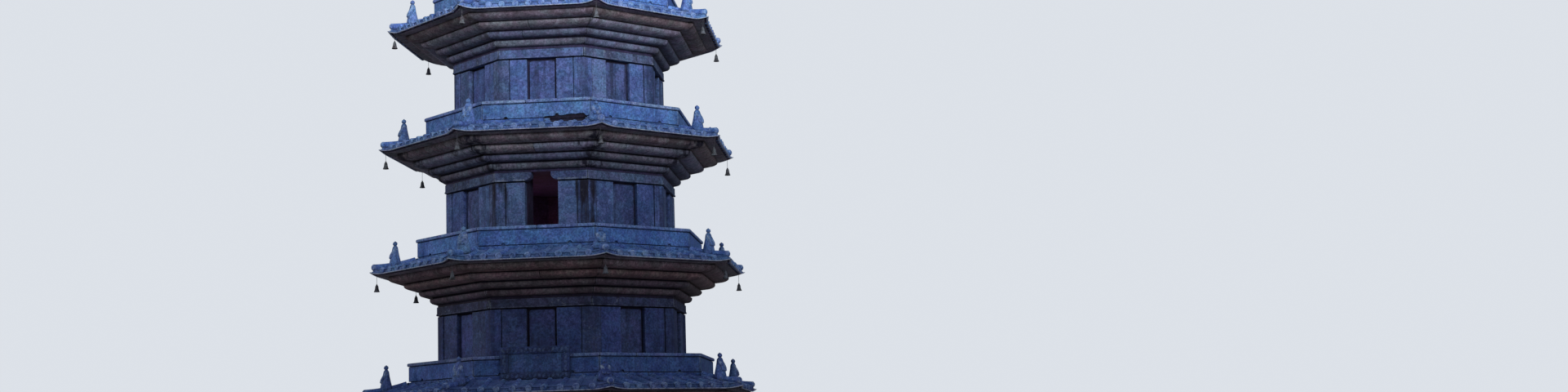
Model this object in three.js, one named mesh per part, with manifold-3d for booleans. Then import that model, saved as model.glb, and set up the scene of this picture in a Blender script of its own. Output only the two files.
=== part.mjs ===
import * as THREE from 'three';
import { mergeVertices } from 'three/addons/utils/BufferGeometryUtils.js';
import Module from 'manifold-3d';

const wasm = await Module();
wasm.setup();

// The tower, in millimetres. It stands on z = 0, and its front side faces -Y.
const SIDES = 8;
const STOREYS = 7;
const TIP_RADIUS = 2260; // axis to the corner tips of the lowest roof
const TIP_HEIGHT = 2168; // ground to the corner tips of the lowest roof
const STOREY_HEIGHT = 1367; // tips of one roof to the tips of the next
const TAPER = 100; // what every corner radius loses from one storey to the next
const SEAT_GAP = 0.3; // left where one stone rests on another

// Roof slab: radii are measured in from the tips, heights from the tips
const EAVE_IN = 25; // the straight eave, at its corners
const EAVE_TOP = 3;
const EAVE_THICKNESS = 28;
const SOFFIT_IN = 200;
const SOFFIT_HEIGHT = -33;
const DECK_IN = 500;
const DECK_HEIGHT = 74;
const TILE_SLOPE = [[47, 22], [280, 60], [501.7, 112]]; // inward distance and height of the tiled slope
const RIDGE_HEIGHT = 38; // hip ridge above the tiles
const TIP_RISE = 28; // the eave's sweep up at a corner
const SWEEP_START = 0.13; // share of a side over which it sweeps
const RIDGE_SHARE = 0.025; // share of a side that half a hip ridge covers
const DROOP = { roof: 4, depth: 36 }; // this roof's eave lies lower than the others'

// Cornice of four rounded courses under each roof: each course's reach, lowest and highest point
const COURSES = [
  { inward: 652, low: -341, high: -280, round: [50, 50], steps: 3 },
  { inward: 532, low: -261, high: -203, round: [60, 50], steps: 3 },
  { inward: 369, low: -187, high: -117, round: [120, 56], steps: 3 },
  { inward: SOFFIT_IN, low: -108, high: SOFFIT_HEIGHT - SEAT_GAP, round: [120, 58], steps: 3 },
];
const COURSE_RECESS = 30; // the joint over a course lies back by this

// Walls: radii are measured in from the tips of the roof above
const POST_IN = 739;
const LINTEL_IN = 722;
const LINTEL_LOW = -468;
const LINTEL_TOP = -371;
const LINTEL_BED = 5; // the walls run up into the lintel by this
const WALL_THICKNESS = 450;
const POST_WIDTH = 112; // a corner post's face on each side
const BAY_DEPTH = 12; // panels between the posts lie back by this
const NICHE = { width: 322, depth: 58, sill: 320 };
const DOORWAY = { width: 360, lip: 6, shoulder: 84 };

// Parapet around each gallery, on the roof below
const PARAPET = { outer: 502, thickness: 150, curbTop: 172, copingLow: 346, top: 380, panelIn: 18 };
const BROKEN_CURB = { storey: 4, middle: 330, width: 410, depth: 62 }; // on the front side

// Ornament on each hip, and a bell under each tip: [radius, height] outlines
const FIGURE_IN = 280;
const FIGURE = [[0, 0], [80, 0], [78, 90], [66, 120], [52, 190], [38, 276], [18, 296], [24, 322], [19, 350], [0, 366]];
const FIGURE_SIDES = 6;
const SHORT_FIGURE = { corner: 0, share: 0.81 }; // on the first corner to the right of the front side
const BELL_IN = 80;
const BELL = [[0, -200], [38, -200], [18, -126], [7, -116], [7, 0], [0, 0]];
const BELL_SIDES = 4;

// Plaque on the lowest parapet
const PLAQUE = { width: 722, height: 338, thickness: 62, low: 124 };
const PLAQUE_PANEL = { width: 560, height: 196, depth: 14 };

// Moulded base, bottom to top, and the finial on the top roof
const BASE_TOP = 746;
const FOOTING = [[2200, 0], [2200, 170]];
const LOWER_MOULDING = [[2090, 170], [2090, 215], [2060, 246], [1990, 268], [1930, 300], [1900, 330]];
const WAIST = [[1850, 330], [1850, 560]];
const BASE_CAP = [[1890, 560], [1930, 590], [2000, 612], [2050, 640], [2070, 668], [2070, BASE_TOP]];
const WAIST_PANEL = { margin: 150, edge: 42, depth: 30 };
const TOP_SLOPE = [[330, 64], [560, 144], [820, 268], [1080, 432], [1290, 592], [1392, 690]];
const FINIAL_SIDES = 12;
const FINIAL_SEAT = [[268, 690], [268, 742], [215, 770], [232, 800], [232, 830]];
const FINIAL_BOWL = [[150, 830], [238, 862], [262, 912], [240, 966], [170, 1010], [96, 1030]];
const FINIAL_RINGS = { low: 1030, count: 5, pitch: 92, core: 62, widest: 168, narrowing: 20, thickness: 44 };
const FINIAL_JEWEL = [
  [58, 0], [130, 40], [150, 92], [120, 146], [62, 180],
  [88, 214], [96, 250], [70, 296], [24, 350], [0, 410],
];

const GRANITE = { color: 0x6f7c8c, roughness: 0.88, metalness: 0 };
const ROOF_STONE = { color: 0x6b7789, roughness: 0.86, metalness: 0 };
const CORNICE_STONE = { color: 0x5d5757, roughness: 0.92, metalness: 0 };
const BASE_STONE = { color: 0x747980, roughness: 0.9, metalness: 0 };

const pagoda = new THREE.Group();

/** Turns a closed outline of [radius, height] points about the upright axis. */
function turned(outline, segments = SIDES) {
  const points = outline.map(([radius, height]) => new THREE.Vector2(radius, height));
  const geometry = new THREE.LatheGeometry(points, segments, Math.PI / segments);
  return geometry.rotateX(Math.PI / 2);
}

/** Closes an outer outline, drawn upwards, onto the axis. */
function filled(outline) {
  return [[0, outline[0][1]], ...outline, [0, outline.at(-1)[1]]];
}

/** Raises an outline by `low`, with its first point kept clear of the stone below. */
function seated(outline, low) {
  return outline.map(([radius, height], i) => [radius, low + height + (i === 0 ? SEAT_GAP : 0)]);
}

/** Makes a solid of a geometry by joining its shared corners. */
function solid(geometry) {
  geometry.deleteAttribute('normal');
  geometry.deleteAttribute('uv');
  const joined = mergeVertices(geometry, 0.01);
  const corners = joined.index.array;
  const triangles = [];
  for (let i = 0; i < corners.length; i += 3) {
    const [a, b, c] = corners.slice(i, i + 3);
    if (a !== b && b !== c && c !== a) triangles.push(a, b, c);
  }
  const vertProperties = joined.attributes.position.array;
  const triVerts = Uint32Array.from(triangles);
  return new wasm.Manifold(new wasm.Mesh({ numProp: 3, vertProperties, triVerts }));
}

/** A box given by its middle in x and y, its low end, and its size. */
function box(width, depth, height, x, y, low) {
  return new THREE.BoxGeometry(width, depth, height).translate(x, y, low + height / 2);
}

/** Adds a solid to the pagoda as a named stone. */
function piece(name, body, finish) {
  const { vertProperties, triVerts } = body.getMesh();
  const geometry = new THREE.BufferGeometry();
  geometry.setAttribute('position', new THREE.BufferAttribute(vertProperties, 3));
  geometry.setIndex(new THREE.BufferAttribute(triVerts, 1));
  geometry.computeVertexNormals();
  const mesh = new THREE.Mesh(geometry, new THREE.MeshStandardMaterial(finish));
  mesh.name = name;
  pagoda.add(mesh);
}

const sideAngle = (2 * Math.PI) / SIDES;
const flatShare = Math.cos(sideAngle / 2); // middle of a side, as a share of the corner radius
const tipRadius = (storey) => TIP_RADIUS - TAPER * (storey - 1);
const tipHeight = (storey) => TIP_HEIGHT + STOREY_HEIGHT * (storey - 1);
const deckHeight = (storey) => (storey === 1 ? BASE_TOP : tipHeight(storey - 1) + DECK_HEIGHT);
const sideLength = (radius) => 2 * radius * Math.sin(sideAngle / 2);
const isOpen = (storey) => storey % 2 === 1;
const everySide = Array.from({ length: SIDES }, (_, side) => side);

/** How far a roof hangs below its true height, at a distance in from the tips. */
function droop(storey, inward) {
  if (storey !== DROOP.roof) return 0;
  return DROOP.depth * Math.max(0, (DECK_IN - inward) / (DECK_IN - EAVE_IN));
}

/** Base: a plain footing, a moulding, a waist with a sunk panel in each side, and a cap. */
function buildBase() {
  piece('base_footing', solid(turned(filled(FOOTING))), BASE_STONE);
  const waist = solid(turned(filled(seated(WAIST, 0)))).subtract(waistPanels());
  piece('base_lower_moulding', solid(turned(filled(seated(LOWER_MOULDING, 0)))), BASE_STONE);
  piece('base_waist', waist, BASE_STONE);
  piece('base_cap', solid(turned(filled(seated(BASE_CAP, 0)))), BASE_STONE);
}

/** The eight sunk panels of the waist, as cutting blocks. */
function waistPanels() {
  const [radius, low] = WAIST[0];
  const height = WAIST[1][1] - low - 2 * WAIST_PANEL.edge;
  const width = sideLength(radius) - 2 * WAIST_PANEL.margin;
  const depth = 2 * WAIST_PANEL.depth;
  return aroundSides(() => box(width, depth, height, 0, -radius * flatShare, low + WAIST_PANEL.edge));
}

/** Joins one solid for each side, turned from the front side's geometry. */
function aroundSides(make, offset = 0, sides = everySide) {
  const turnedOnes = sides.map((side) => solid(make().rotateZ((side + offset) * sideAngle)));
  return turnedOnes.reduce((all, one) => all.add(one));
}

/** An upright eight-sided block. */
function prism(radius, low, high) {
  return solid(turned(filled([[radius, low], [radius, high]])));
}

/** A storey as one mass: posts, shallow bays, a niche in each blind bay, and the lintel on top. */
function storeyBlock(storey) {
  const radius = tipRadius(storey) - POST_IN;
  const low = deckHeight(storey) + SEAT_GAP;
  const lintel = tipHeight(storey) + LINTEL_LOW;
  const bed = lintel + LINTEL_BED;
  const face = -radius * flatShare;
  const bayWidth = sideLength(radius) - 2 * POST_WIDTH;
  const bays = aroundSides(() => box(bayWidth, 2 * BAY_DEPTH, bed - low + 2, 0, face, low - 1));
  let block = prism(radius, low, bed).subtract(bays);
  const nicheDepth = 2 * (BAY_DEPTH + NICHE.depth);
  const sill = low + NICHE.sill;
  for (let side = 0; side < SIDES; side++) {
    if (isOpen(storey) && side % (SIDES / 2) === 0) continue;
    const niche = box(NICHE.width, nicheDepth, bed - sill + 1, 0, face, sill);
    block = block.subtract(solid(niche.rotateZ(side * sideAngle)));
  }
  return block.add(prism(tipRadius(storey) - LINTEL_IN, lintel, tipHeight(storey) + LINTEL_TOP));
}

/** The doorway's void from front to back, with rounded shoulders in the lintel. */
function doorway(storey) {
  const low = deckHeight(storey) - 1;
  const lintel = tipHeight(storey) + LINTEL_LOW;
  const top = tipHeight(storey) + LINTEL_TOP + 1;
  const half = DOORWAY.width / 2;
  const shoulderLow = lintel + DOORWAY.lip;
  const spring = shoulderLow + DOORWAY.shoulder;
  const shape = new THREE.Shape();
  shape.moveTo(half, low);
  shape.lineTo(half, shoulderLow);
  shape.absarc(half, spring, DOORWAY.shoulder, -Math.PI / 2, -Math.PI, true);
  shape.lineTo(half - DOORWAY.shoulder, top);
  shape.lineTo(DOORWAY.shoulder - half, top);
  shape.lineTo(DOORWAY.shoulder - half, spring);
  shape.absarc(-half, spring, DOORWAY.shoulder, 0, -Math.PI / 2, true);
  shape.lineTo(-half, low);
  const reach = tipRadius(storey);
  const options = { depth: 2 * reach, bevelEnabled: false, curveSegments: 5 };
  return new THREE.ExtrudeGeometry(shape, options).rotateX(Math.PI / 2).translate(0, reach, 0);
}

/** A closed storey is one mass; an open one is two curved walls around a chamber, apart at the doorways. */
function buildWalls(storey) {
  const block = storeyBlock(storey);
  if (!isOpen(storey)) {
    piece(`storey_${storey}_wall`, block, GRANITE);
    return;
  }
  const outer = tipRadius(storey) - POST_IN;
  const inner = outer - WALL_THICKNESS / flatShare;
  const low = deckHeight(storey) - 1;
  const high = tipHeight(storey);
  const ring = block.subtract(prism(inner, low, high)).subtract(solid(doorway(storey)));
  const halves = { west: -outer, east: outer };
  for (const [name, x] of Object.entries(halves)) {
    const half = solid(box(2 * outer, 3 * outer, high - low, x, 0, low));
    piece(`storey_${storey}_${name}_wall`, ring.intersect(half), GRANITE);
  }
}

/** Outline of the four courses: each has a flat underside, a round front and a short upright top. */
function corniceOutline(storey) {
  const tip = tipRadius(storey);
  const top = tipHeight(storey);
  const outline = [];
  let inner = tip - LINTEL_IN - 20;
  let seat = LINTEL_IN;
  outline.push([inner, top + LINTEL_TOP + SEAT_GAP]);
  for (const { inward, low, high, round: [across, up], steps } of COURSES) {
    const outer = tip - inward;
    const bed = top + low - droop(storey, seat);
    outline.push([inner, bed]);
    for (let step = 0; step <= steps; step++) {
      const angle = (Math.PI / 2) * (step / steps);
      const radius = outer - across + across * Math.sin(angle);
      outline.push([radius, bed + up - up * Math.cos(angle)]);
    }
    outline.push([outer, top + high - droop(storey, inward)]);
    inner = outer - COURSE_RECESS;
    seat = inward;
  }
  return outline;
}

function buildCornice(storey) {
  piece(`storey_${storey}_cornice`, solid(turned(filled(corniceOutline(storey)))), CORNICE_STONE);
}

/** Outline of a roof slab from its underside over the eave to the deck, or up the top roof's slope. */
function roofOutline(storey) {
  const under = [
    [SOFFIT_IN, SOFFIT_HEIGHT],
    [EAVE_IN, EAVE_TOP - EAVE_THICKNESS],
    [EAVE_IN, EAVE_TOP],
  ];
  const upper = storey < STOREYS
    ? [...TILE_SLOPE, [TILE_SLOPE.at(-1)[0], DECK_HEIGHT]]
    : [TILE_SLOPE[0], ...TOP_SLOPE];
  const tip = tipRadius(storey);
  return filled([...under, ...upper].map(([inward, height]) => [tip - inward, height - droop(storey, inward)]));
}

/** A roof slab: straight eaves that sweep up and out to the tips, with a ridge along each hip. */
function roofSlab(storey) {
  const stations = [0, RIDGE_SHARE, SWEEP_START, 1 - SWEEP_START, 1 - RIDGE_SHARE];
  const outline = roofOutline(storey);
  const geometry = turned(outline, SIDES * stations.length);
  const position = geometry.attributes.position;
  const tip = tipRadius(storey);
  const eave = tip - EAVE_IN;
  const ridgeFoot = storey < STOREYS ? tip - DECK_IN + 60 : tip - TOP_SLOPE.at(-2)[0];
  const firstUpper = outline.findLastIndex(([radius]) => radius === eave) + 1;
  const rise = TIP_RISE + droop(storey, EAVE_IN) / 2;
  for (let vertex = 0; vertex < position.count; vertex++) {
    const station = Math.floor(vertex / outline.length);
    const point = vertex % outline.length;
    const [radius, height] = outline[point];
    const side = Math.floor(station / stations.length);
    const along = stations[station % stations.length];
    const nearness = Math.abs(2 * along - 1);
    const sweep = Math.max(0, (nearness - 1 + 2 * SWEEP_START) / (2 * SWEEP_START)) ** 2;
    const share = Math.max(0, (radius - tip + DECK_IN) / (DECK_IN - EAVE_IN)) ** 2;
    const stretched = radius * (1 + (EAVE_IN / eave) * sweep * share);
    const isRidge = along === 0 && point >= firstUpper && radius >= ridgeFoot;
    const lift = rise * sweep * share + (isRidge ? RIDGE_HEIGHT : 0);
    const start = (side + 0.5) * sideAngle;
    const across = Math.sin(start) * (1 - along) + Math.sin(start + sideAngle) * along;
    const back = Math.cos(start) * (1 - along) + Math.cos(start + sideAngle) * along;
    position.setXYZ(vertex, stretched * across, -stretched * back, tipHeight(storey) + height + lift);
  }
  return solid(geometry);
}

/** Roof with a robed figure standing on each hip, shorter on one of them, and a bell under each tip. */
function buildRoof(storey) {
  const tip = tipRadius(storey);
  const top = tipHeight(storey);
  const figure = (share) => turned(FIGURE, FIGURE_SIDES).scale(1, 1, share).translate(0, FIGURE_IN - tip, top);
  const bell = () => turned(BELL, BELL_SIDES).translate(0, BELL_IN - tip, top);
  const { corner, share } = SHORT_FIGURE;
  const tall = aroundSides(() => figure(1), 0.5, everySide.filter((side) => side !== corner));
  const short = aroundSides(() => figure(share), 0.5, [corner]);
  const bells = aroundSides(bell, 0.5);
  piece(`storey_${storey}_roof`, roofSlab(storey).add(tall).add(short).add(bells), ROOF_STONE);
}

/** Parapet of upright slabs on a curb, under a coping. One curb has lost a length of its face. */
function buildParapet(storey) {
  const outer = tipRadius(storey - 1) - PARAPET.outer;
  const base = tipHeight(storey - 1);
  const panel = outer - PARAPET.panelIn;
  const inner = outer - PARAPET.thickness;
  const outline = [
    [outer, base + DECK_HEIGHT + SEAT_GAP],
    [outer, base + PARAPET.curbTop],
    [panel, base + PARAPET.curbTop],
    [panel, base + PARAPET.copingLow],
    [outer, base + PARAPET.copingLow],
    [outer, base + PARAPET.top],
    [inner, base + PARAPET.top],
    [inner, base + DECK_HEIGHT + SEAT_GAP],
    [outer, base + DECK_HEIGHT + SEAT_GAP],
  ];
  let parapet = solid(turned(outline));
  if (storey === BROKEN_CURB.storey) {
    const { middle, width, depth } = BROKEN_CURB;
    const height = PARAPET.curbTop - DECK_HEIGHT + 1;
    const loss = box(width, 2 * depth, height, middle, -outer * flatShare, base + DECK_HEIGHT - 1);
    parapet = parapet.subtract(solid(loss));
  }
  piece(`storey_${storey}_parapet`, parapet, GRANITE);
}

/** A framed tablet with a bare sunk panel, set against the front of the lowest parapet. */
function buildPlaque() {
  const face = -(tipRadius(1) - PARAPET.outer) * flatShare - SEAT_GAP;
  const low = tipHeight(1) + PLAQUE.low;
  const slab = box(PLAQUE.width, PLAQUE.thickness, PLAQUE.height, 0, face - PLAQUE.thickness / 2, low);
  const panelLow = low + (PLAQUE.height - PLAQUE_PANEL.height) / 2;
  const panelY = face - PLAQUE.thickness;
  const panel = box(PLAQUE_PANEL.width, 2 * PLAQUE_PANEL.depth, PLAQUE_PANEL.height, 0, panelY, panelLow);
  piece('parapet_plaque', solid(slab).subtract(solid(panel)), GRANITE);
}

/** Finial: an eight-sided seat, a turned bowl, a mast of rings and a gourd-shaped jewel. */
function buildFinial() {
  const base = tipHeight(STOREYS);
  const rings = [[FINIAL_RINGS.core, 0]];
  for (let ring = 0; ring < FINIAL_RINGS.count; ring++) {
    const middle = FINIAL_RINGS.pitch * (ring + 0.5);
    const reach = FINIAL_RINGS.widest - FINIAL_RINGS.narrowing * ring;
    rings.push([FINIAL_RINGS.core, middle - FINIAL_RINGS.thickness / 2]);
    rings.push([reach, middle - FINIAL_RINGS.thickness / 4]);
    rings.push([reach, middle + FINIAL_RINGS.thickness / 4]);
    rings.push([FINIAL_RINGS.core, middle + FINIAL_RINGS.thickness / 2]);
  }
  const ringsHeight = FINIAL_RINGS.pitch * FINIAL_RINGS.count;
  rings.push([FINIAL_RINGS.core, ringsHeight]);
  const ringsLow = base + FINIAL_RINGS.low;
  piece('finial_seat', solid(turned(filled(seated(FINIAL_SEAT, base)))), ROOF_STONE);
  piece('finial_bowl', solid(turned(filled(seated(FINIAL_BOWL, base)), FINIAL_SIDES)), ROOF_STONE);
  piece('finial_rings', solid(turned(filled(seated(rings, ringsLow)), FINIAL_SIDES)), ROOF_STONE);
  const jewel = filled(seated(FINIAL_JEWEL, ringsLow + ringsHeight));
  piece('finial_jewel', solid(turned(jewel, FINIAL_SIDES)), ROOF_STONE);
}

buildBase();
for (let storey = 1; storey <= STOREYS; storey++) {
  buildWalls(storey);
  buildCornice(storey);
  buildRoof(storey);
  if (storey > 1) buildParapet(storey);
}
buildPlaque();
buildFinial();

export default pagoda;
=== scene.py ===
import math
import random

import bmesh
import bpy
from mathutils import Matrix, Vector


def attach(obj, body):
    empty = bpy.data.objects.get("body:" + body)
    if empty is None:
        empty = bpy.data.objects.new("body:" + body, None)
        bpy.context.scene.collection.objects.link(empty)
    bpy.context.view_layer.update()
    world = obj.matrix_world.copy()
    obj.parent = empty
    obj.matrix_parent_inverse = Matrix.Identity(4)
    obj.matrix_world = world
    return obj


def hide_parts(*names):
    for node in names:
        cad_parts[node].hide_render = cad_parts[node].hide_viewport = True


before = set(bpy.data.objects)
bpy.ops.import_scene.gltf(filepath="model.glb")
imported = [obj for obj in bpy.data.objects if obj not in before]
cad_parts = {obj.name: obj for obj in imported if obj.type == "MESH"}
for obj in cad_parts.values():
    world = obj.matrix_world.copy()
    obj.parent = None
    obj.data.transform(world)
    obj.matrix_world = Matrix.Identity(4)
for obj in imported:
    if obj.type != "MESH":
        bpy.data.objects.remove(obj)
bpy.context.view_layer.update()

# The tower, in metres. It stands on z = 0, and its front side faces -Y.
SIDES = 8
STOREYS = 7
TIP_RADIUS = 2.260
TIP_HEIGHT = 2.168
STOREY_HEIGHT = 1.367
TAPER = 0.100
SIDE_ANGLE = 2 * math.pi / SIDES
FLAT = math.cos(SIDE_ANGLE / 2)  # a side's distance from the axis, as a share of its corners'
SLANT = math.tan(SIDE_ANGLE / 2)  # half a side's length, as a share of its distance from the axis
HALF_SIDE = FLAT * SLANT  # half a side's length, as a share of its corners' distance from the axis

# Stone cutting
JOINT = 0.005
ARRIS = 0.004
SHARP_ANGLE = math.radians(24)
MITRE = 9.0  # a distance along a side past every corner, so that the stone is mitred there

# Roof: distances in from the corner tips, heights from the tips
EAVE_IN = 0.025
LIP_THICKNESS = 0.011
LIP_TOP = -0.008
LIP_WIDTH = 0.022
BED_IN = 0.047
SOFFIT_IN = 0.200
SOFFIT_HEIGHT = -0.033
DECK_IN = 0.500
DECK_HEIGHT = 0.074
TILE_END_IN = 0.5017
PAN_FOOT, PAN_PITCH, PAN_SAG = 0.025, 0.125, 0.208  # the tiles' bed: its height, slope and curve
TOP_FOOT, TOP_PITCH, TOP_SAG = 0.025, 0.070, 0.286  # the same on the top roof
TOP_SLOPE_IN = 1.392
TIP_RISE = 0.028
SWEEP_START = 0.13  # the eave sweeps up over this share of its length, at both ends
DROOPED_ROOF, DROOP = 4, 0.036  # the fourth roof's eave lies lower than the others'
ROLLS_PER_SIDE = 9
ROLL_SPACING = 2 / 21  # as a share of the eave's length
ROLL_RADIUS, ROLL_SUNK = 0.035, 0.013
ROLL_FRONT_IN, ROLL_TO_HIP, ROLL_SHORTEST = 0.053, 0.030, 0.040
RIDGE_RADIUS, RIDGE_RAISED, RIDGE_FRONT_IN = 0.036, 0.012, 0.062
LINE_STEP = 0.05  # between points on a roll or a ridge

# Cornice courses: reach in from the tips, lowest and highest point, rounding across and up
COURSES = [
    {"inward": 0.652, "low": -0.341, "high": -0.280, "round": (0.050, 0.046)},
    {"inward": 0.532, "low": -0.261, "high": -0.203, "round": (0.060, 0.044)},
    {"inward": 0.369, "low": -0.187, "high": -0.117, "round": (0.120, 0.050)},
    {"inward": SOFFIT_IN, "low": -0.108, "high": SOFFIT_HEIGHT, "round": (0.120, 0.052)},
]
COURSE_SHOULDER = 0.009

# Walls: distances in from the tips of the roof above
POST_IN = 0.739
LINTEL_IN = 0.722
LINTEL_LOW = -0.468
LINTEL_TOP = -0.371
LINTEL_BAND, LINTEL_BACK = 0.019, 0.007
LINTEL_DEPTH = 0.130
WALL_THICKNESS = 0.450
POST_WIDTH, POST_DEPTH = 0.112, 0.100
BAY_DEPTH = 0.012
NICHE_WIDTH, NICHE_SILL = 0.322, 0.320
SLAB_WIDTH, SLAB_BACK, SLAB_ROUND = 0.284, 0.040, 0.030
CORE_BACK = 0.075
DOORWAY_WIDTH, DOORWAY_LIP, DOORWAY_SHOULDER = 0.360, 0.006, (0.075, 0.060)

# Parapet, from the tips of the roof that it stands on
PARAPET_IN = 0.502
PARAPET_THICKNESS = 0.150
CURB_TOP = 0.172
COPING_LOW = 0.346
COPING_TOP = 0.380
PANEL_BACK, PANEL_THICKNESS, FILLING_BACK = 0.018, 0.060, 0.022
PANEL_GAPS = (0.009, 0.006)
WEEP_WIDTH, WEEP_HEIGHT, WEEP_PLACE = 0.046, 0.023, 0.56

# The curb that has lost a length of its face, on the front side
BROKEN_STOREY, BROKEN_FROM, BROKEN_TO, BROKEN_DEPTH = 4, 0.100, 0.535, 0.062
STUB_SHORTER, STUB_UNEVEN = 0.130, 0.050  # the tile rolls in front of it are worn down to stubs
LUMPS = 12  # of rubble in the gap

# The ragged lower edge of the panel over it: distances along the side, and rises
RAGGED_EDGE = [(0.078, 0.0), (0.092, 0.009), (0.125, 0.011), (0.170, 0.010), (0.198, 0.014), (0.204, 0.036),
               (0.222, 0.041), (0.236, 0.034), (0.242, 0.015), (0.285, 0.014), (0.330, 0.023), (0.372, 0.026),
               (0.420, 0.023), (0.470, 0.030), (0.512, 0.027), (0.536, 0.0)]

# Lengths of bed laid bare in front of it, painted dark partly as shade: from, to, and how far in they start
BARE_BED = [(0.095, 0.200, 0.400), (0.200, 0.245, 0.360), (0.245, 0.360, 0.385), (0.360, 0.520, 0.370)]

# Plaque on the lowest parapet
PLAQUE_WIDTH, PLAQUE_HEIGHT, PLAQUE_THICKNESS, PLAQUE_LOW = 0.722, 0.338, 0.062, 0.124
PLAQUE_PANEL, PLAQUE_SUNK = (0.560, 0.196), 0.014
BOSS_HEIGHT, BOSSES_ACROSS, BOSSES_UP = 0.005, 15, 5
BOSS_REACH = (0.018, 0.024)

# Ornaments
FIGURE_IN, FIGURE_FOOT, FIGURE_REACH = 0.280, 0.040, 0.150
SHORT_CORNER, SHORT_SHARE = 0, 0.78  # the first corner to the right of the front side
BELL_IN, BELL_CROWN = 0.080, -0.125

# Base: heights, corner radii, and the waist's sunk panels
BASE_TOP, FOOTING_TOP = 0.746, 0.170
WAIST_LOW, WAIST_HIGH = 0.330, 0.560
FOOTING_RADIUS, WAIST_RADIUS = 2.200, 1.850
BASE_BACK, BASE_CORE, WAIST_CORE = 1.60, 1.70, 1.72
WAIST_MARGIN, WAIST_EDGE, WAIST_SUNK = 0.150, 0.042, 0.030

# Finial: heights from the top roof's tips, then the mast and its rings
SEAT_LOW, SEAT_TOP, BOWL_TOP, RINGS_TOP = 0.690, 0.830, 1.030, 1.490
MAST_RADIUS, RINGS, RING_REACH, RING_TAPER = 0.062, 5, 0.162, 0.020

# Weather, and painted shade on the lower storeys
LOW_SHADE_EDGE = (3.40, 3.56)  # heights: the stone below is painted darker as shade, the stone above is not
DARK_CORNERS = {(3, 0), (3, 7)}  # storey and corner of the darkest stains
RUST = (24, 22, 40)

# View: the eye, the lens in millimetres, and the camera's angles in degrees
EYE = (3.749, -19.872, 1.600)
LENS = 40.72
EYE_TURN, EYE_PITCH, EYE_ROLL = 3.499, 7.790, -1.875


def tip_radius(storey):
    return TIP_RADIUS - TAPER * (storey - 1)


def tip_height(storey):
    return TIP_HEIGHT + STOREY_HEIGHT * (storey - 1)


def floor_height(storey):
    return BASE_TOP if storey == 1 else tip_height(storey - 1) + DECK_HEIGHT


def is_open(storey):
    return storey % 2 == 1


def droop(storey, inward):
    """How much lower a roof lies than the others' pattern gives, at a distance in from the tips."""
    if storey != DROOPED_ROOF:
        return 0.0
    return DROOP * max(0.0, (DECK_IN - inward) / (DECK_IN - EAVE_IN))


def corner_angle(corner):
    """Where a corner stands, turned from the front. Corner 0 is to the right of the front side."""
    return (corner + 0.5) * SIDE_ANGLE


def corner_point(storey, corner, inward, height):
    """A point over a roof's hip, from its distance in from the tip and its height over it."""
    radius = tip_radius(storey) - inward
    angle = corner_angle(corner)
    return radius * math.sin(angle), -radius * math.cos(angle), tip_height(storey) + height


def on_side(side, along, out, height):
    """A point of a side: its distance along from the middle, and out from the axis."""
    angle = side * SIDE_ANGLE
    x = out * math.sin(angle) + along * math.cos(angle)
    y = along * math.sin(angle) - out * math.cos(angle)
    return x, y, height


def on_face(side, along, out, height):
    """The same point, kept half a joint short of the side's corners."""
    limit = out * SLANT - JOINT / 2
    return on_side(side, max(-limit, min(limit, along)), out, height)


def arc(centre, radii, start, end, steps):
    """Points of an ellipse's arc, in degrees from the first axis."""
    points = []
    for step in range(steps + 1):
        angle = math.radians(start + (end - start) * step / steps)
        points.append((centre[0] + radii[0] * math.cos(angle), centre[1] + radii[1] * math.sin(angle)))
    return points


def box_outline(left, right, low, high):
    """A rectangle's corners."""
    return [(left, low), (right, low), (right, high), (left, high)]


def span(sign, near, far):
    """A length to the right of a side's middle, or the same length to the left."""
    return sorted((sign * near, sign * far))


def swept(side, profile, left, right):
    """Rings of a stone that runs along a side with a profile of (out, height)."""
    return [[on_face(side, along, out, height) for out, height in profile] for along in (left, right)]


def upright(side, outline, front, back):
    """Rings of a slab that faces out, with an outline of (along, height)."""
    return [[on_face(side, along, out, height) for along, height in outline] for out in (front, back)]


def added(name, data):
    """A new object in the scene."""
    thing = bpy.data.objects.new(name, data)
    bpy.context.scene.collection.objects.link(thing)
    return thing


def set_values(mesh, name, values):
    """Gives every point of a mesh a number."""
    mesh.attributes.new(name, "FLOAT", "POINT").data.foreach_set("value", values)


def finished(name, mesh, materials):
    """Makes a mesh a piece, with its materials and its creases."""
    for material in materials:
        mesh.materials.append(material)
    mesh.shade_smooth()
    mesh.set_sharp_from_angle(angle=SHARP_ANGLE)
    return added(name, mesh)


def ring_body(rings):
    """A closed body through rings of points. A ring of one point is a pole."""
    body = bmesh.new()
    rows = [[body.verts.new(point) for point in ring] for ring in rings]
    count = max(len(row) for row in rows)
    for near, far in zip(rows, rows[1:]):
        for i in range(count):
            j = (i + 1) % count
            corners = (near[i % len(near)], near[j % len(near)], far[j % len(far)], far[i % len(far)])
            body.faces.new(list(dict.fromkeys(corners)))
    for row in (rows[0], rows[-1]):
        if len(row) > 1:
            body.faces.new(row)
    bmesh.ops.recalc_face_normals(body, faces=body.faces)
    return body


def body_piece(name, body, materials=(), tone=0.5):
    """Makes a body a piece, all of one tone."""
    mesh = bpy.data.meshes.new(name)
    body.to_mesh(mesh)
    body.free()
    set_values(mesh, "tone", [tone] * len(mesh.vertices))
    return finished(name, mesh, materials)


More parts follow.
